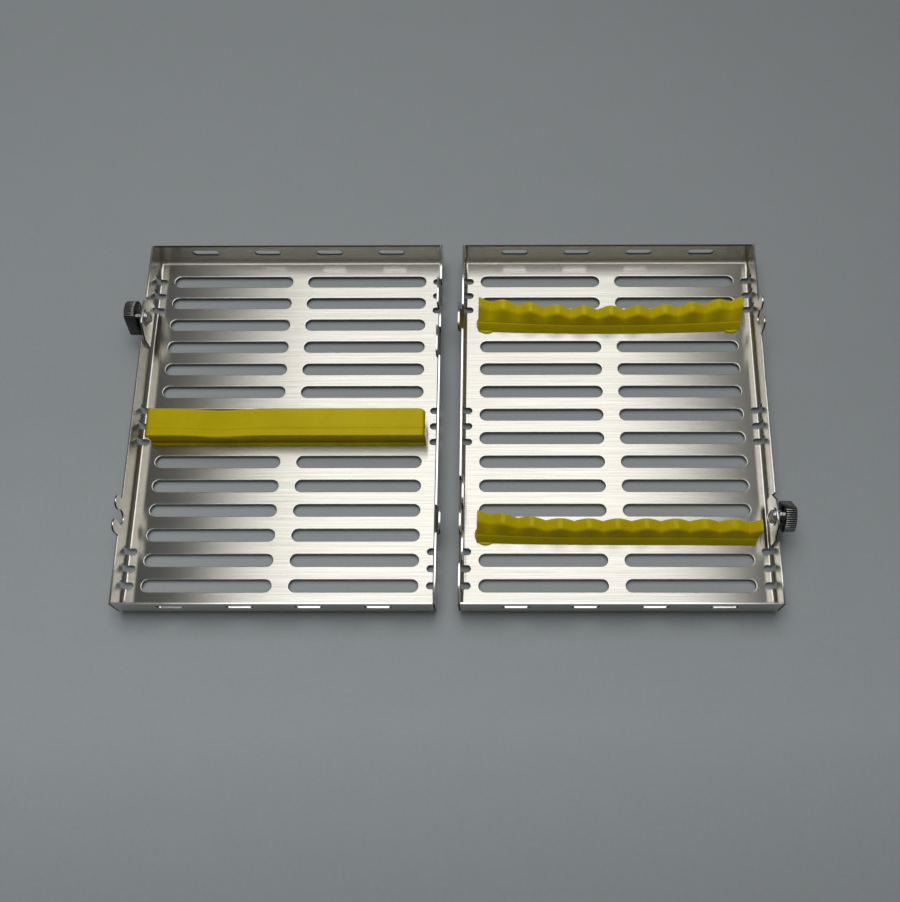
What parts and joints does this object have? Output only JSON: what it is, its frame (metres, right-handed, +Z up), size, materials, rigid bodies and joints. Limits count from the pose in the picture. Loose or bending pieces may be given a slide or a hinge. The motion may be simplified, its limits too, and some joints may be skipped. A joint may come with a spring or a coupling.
{
  "type": "dental instrument cassette",
  "caption": "Slotted stainless steel instrument cassette in folding halves, with silicone instrument rails and turning knob latches, lying open.",
  "frame": {"origin": "On the ground, midway between the two halves as they lie open, at the middle of their length.", "axes": "+X from the hinge towards the base half's latch side, +Y towards the back along the hinge, +Z up."},
  "size_m": [0.3018, 0.18, 0.0215],
  "materials": {
    "brushed_steel": "fine brushed lines across the width",
    "polished_steel": "polished",
    "dark_steel": "turned and knurled, darker",
    "silicone": "satin yellow silicone"
  },
  "bodies": {
    "base": {"base_tray": "brushed_steel", "rear_rail": "silicone", "front_rail": "silicone"},
    "lid": {"lid_tray": "brushed_steel", "press_bar": "silicone"},
    "base_latch": {"base_knob": "dark_steel", "base_stud": "polished_steel", "base_spring_washer": "polished_steel"},
    "lid_latch": {"lid_knob": "dark_steel", "lid_stud": "polished_steel", "lid_spring_washer": "polished_steel"}
  },
  "joints": [
    {"name": "lid_hinge", "type": "hinge", "parent": "base", "child": "lid", "pos_m": [0, 0, 0.0138], "axis": [0, 1, 0], "range_deg": [0, 180]},
    {"name": "base_latch_turn", "type": "hinge", "parent": "base", "child": "base_latch", "pos_m": [0.1448, -0.05, 0.0138], "axis": [1, 0, 0], "range_deg": [0, 90]},
    {"name": "lid_latch_turn", "type": "hinge", "parent": "lid", "child": "lid_latch", "pos_m": [-0.1448, 0.05, 0.0138], "axis": [-1, 0, 0], "range_deg": [0, 90]}
  ]
}
